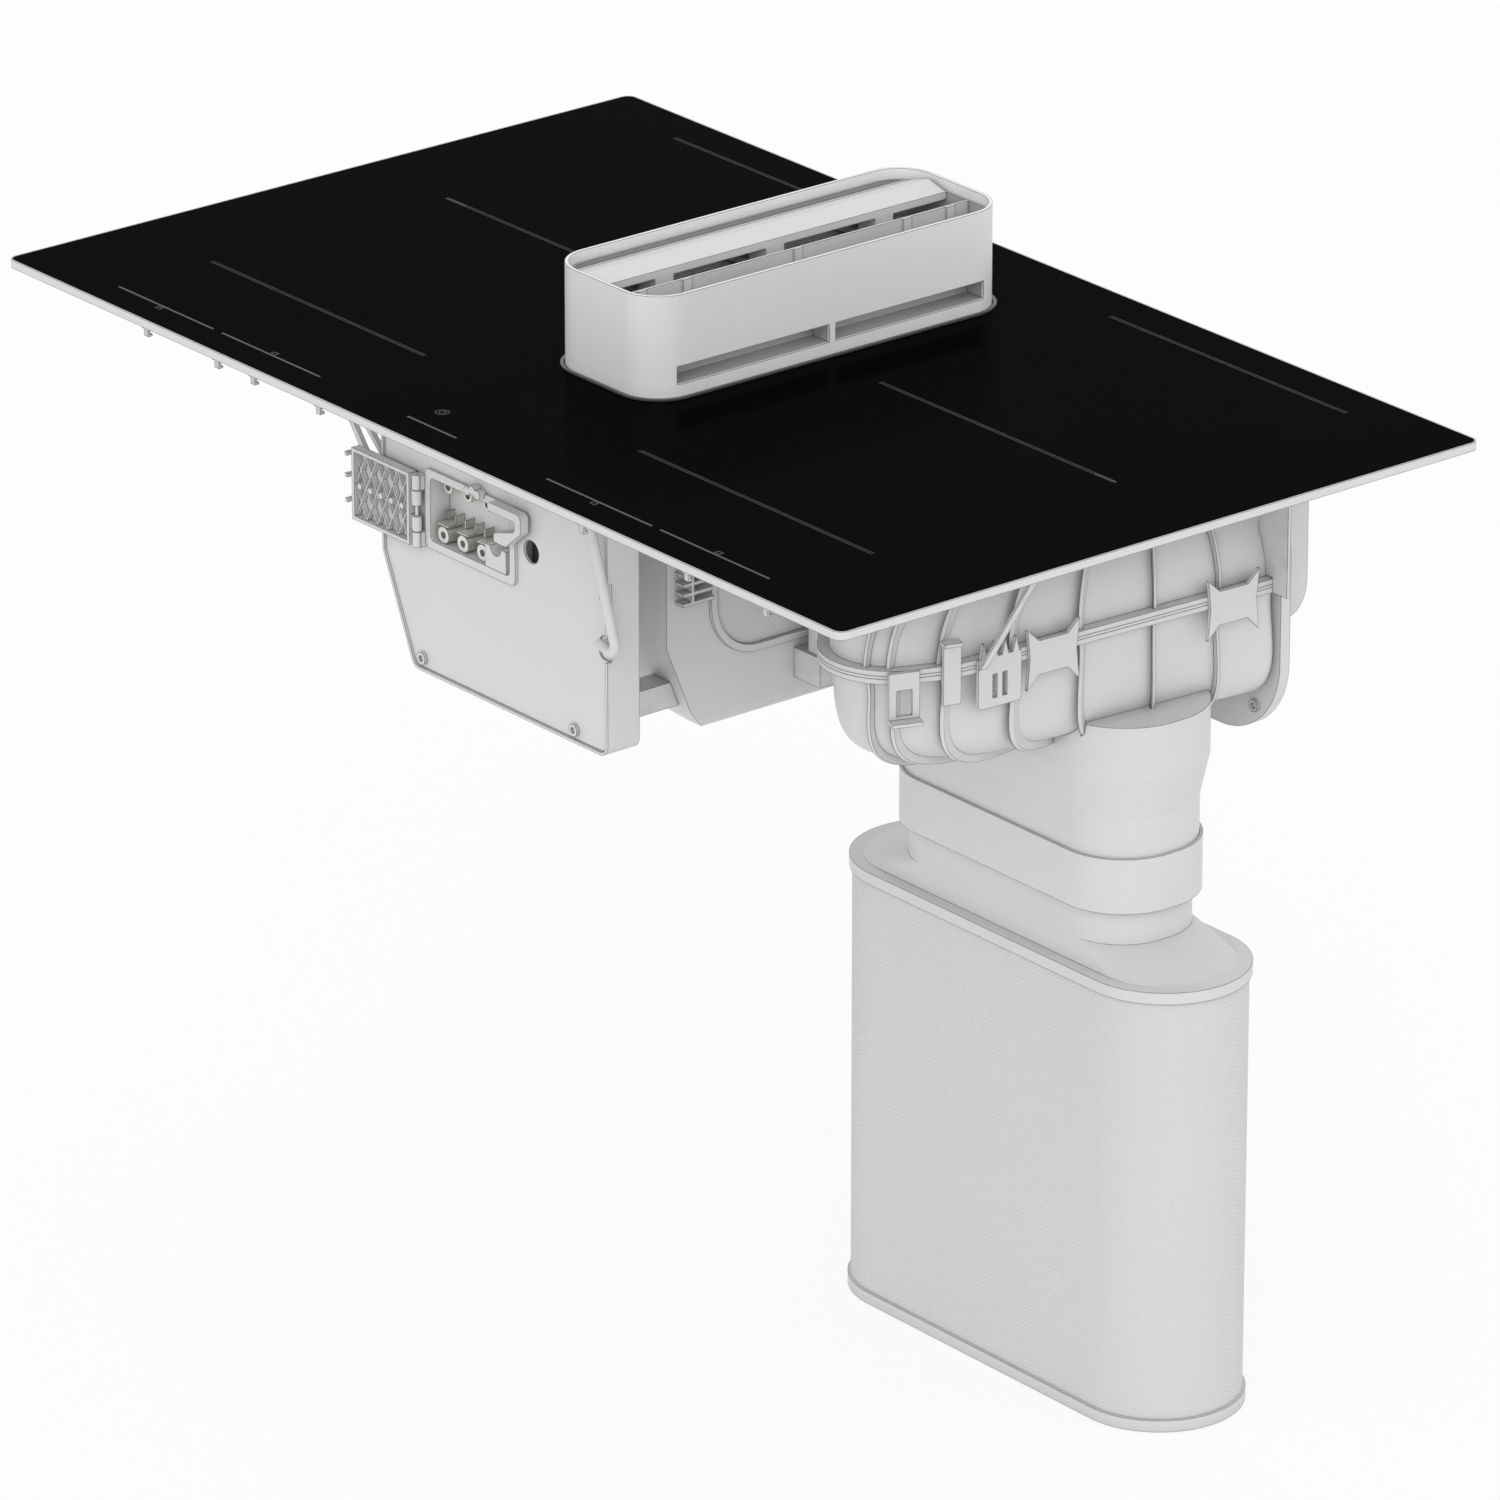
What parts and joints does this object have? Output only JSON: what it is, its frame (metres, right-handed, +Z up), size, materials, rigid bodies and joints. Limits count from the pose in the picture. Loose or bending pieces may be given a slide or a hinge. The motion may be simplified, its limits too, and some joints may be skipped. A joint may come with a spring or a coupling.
{
  "type": "downdraft induction cooktop",
  "caption": "Built-in induction cooktop with a rising central extraction tower, lift drive, side blower, terminal box and a ducted recirculating filter pack.",
  "frame": {"origin": "centre of the worktop cut-out at the worktop's upper surface, where the seal band rests", "axes": "+X to the cook's right along the glass, +Y away from the cook, +Z up"},
  "size_m": [0.84, 0.51, 0.706],
  "materials": {
    "black_glass": "gloss, opaque black ceramic",
    "satin_steel": "satin",
    "galvanised_sheet": "fine matte coat",
    "light_plastic": "fine moulded grain",
    "dark_plastic": "fine moulded grain",
    "seal_rubber": "matte foam band",
    "copper": "wound wire, semi-matte",
    "ferrite": "matte",
    "board": "coated board",
    "raw_aluminium": "as drawn",
    "mica": "pressed sheet",
    "terminal_brass": "nickel plated",
    "bright_steel": "ground",
    "fleece": "woven",
    "lead_sheath": "matte sheath"
  },
  "bodies": {
    "hob": {"glass_top": "black_glass", "edge_trim": "satin_steel", "worktop_seal": "seal_rubber", "tower_trim_ring": "satin_steel", "base_tray": "galvanised_sheet", "tray_hooks": "galvanised_sheet", "coil_carriers": "dark_plastic", "insulation_sheets": "mica", "induction_coils": "copper", "ferrite_bars": "ferrite", "power_boards": "board", "heat_sinks": "raw_aluminium", "touch_board": "board", "cooling_fan_frame": "dark_plastic", "well_shell": "light_plastic", "guide_rods": "bright_steel", "harness_comb": "light_plastic", "lift_bearings": "light_plastic", "lift_motor": "dark_plastic", "casing_shell": "light_plastic", "casing_cover": "light_plastic", "terminal_frame": "light_plastic", "lid_hinge_pin": "bright_steel", "terminal_posts": "terminal_brass", "terminal_links": "terminal_brass", "strain_relief_arm": "light_plastic", "cable_clamp": "light_plastic", "fan_lead": "lead_sheath", "casing_gusset": "light_plastic", "cross_rail": "galvanised_sheet", "blower_upper_shell": "light_plastic", "blower_lower_shell": "light_plastic", "fan_plate": "light_plastic", "blower_motor": "dark_plastic", "flange_clips": "light_plastic", "blower_hangers": "galvanised_sheet", "blower_bracket": "galvanised_sheet", "rear_flange": "light_plastic", "rear_housing": "light_plastic", "screws": "bright_steel", "outlet_adapter": "light_plastic", "duct_collar": "light_plastic", "filter_top_cap": "light_plastic", "filter_sleeve": "fleece", "filter_media": "fleece", "filter_bottom_cap": "light_plastic"},
    "tower": {"tower_shell": "satin_steel", "window_baffles": "light_plastic", "guide_bushes": "dark_plastic", "tower_racks": "light_plastic"},
    "grille": {"grille_frame": "light_plastic", "side_blades": "satin_steel", "cover_blade": "satin_steel", "grille_clips": "light_plastic", "grease_filter": "raw_aluminium"},
    "lift_drive": {"lift_shaft": "bright_steel", "lift_pinions": "light_plastic"},
    "terminal_lid": {"terminal_lid": "light_plastic"},
    "impeller": {"impeller": "dark_plastic"},
    "cooling_fan_rotor": {"cooling_fan_rotor": "dark_plastic"}
  },
  "joints": [
    {"name": "tower_lift", "type": "slide", "parent": "hob", "child": "tower", "axis": [0, 0, 1], "range_m": [-0.068, 0]},
    {"name": "lift_shaft_turn", "type": "hinge", "parent": "hob", "child": "lift_drive", "pos_m": [0.07087, 0, -0.086], "axis": [0, 1, 0], "range_deg": [-330, 5]},
    {"name": "grille_lift", "type": "slide", "parent": "tower", "child": "grille", "axis": [0, 0, 1], "range_m": [0, 0.12]},
    {"name": "terminal_lid_turn", "type": "hinge", "parent": "hob", "child": "terminal_lid", "pos_m": [-0.0495, -0.209, -0.068], "axis": [0, 0, 1], "range_deg": [0, 180]},
    {"name": "impeller_spin", "type": "hinge", "parent": "hob", "child": "impeller", "pos_m": [0.205, 0.094, -0.133], "axis": [0, 0, 1], "continuous": true},
    {"name": "cooling_fan_spin", "type": "hinge", "parent": "hob", "child": "cooling_fan_rotor", "pos_m": [-0.152, 0.135, -0.04], "axis": [0, 0, 1], "continuous": true}
  ],
  "couplings": [
    {"joint": "lift_shaft_turn", "follows": "tower_lift", "rad_per_m": 83.333}
  ]
}
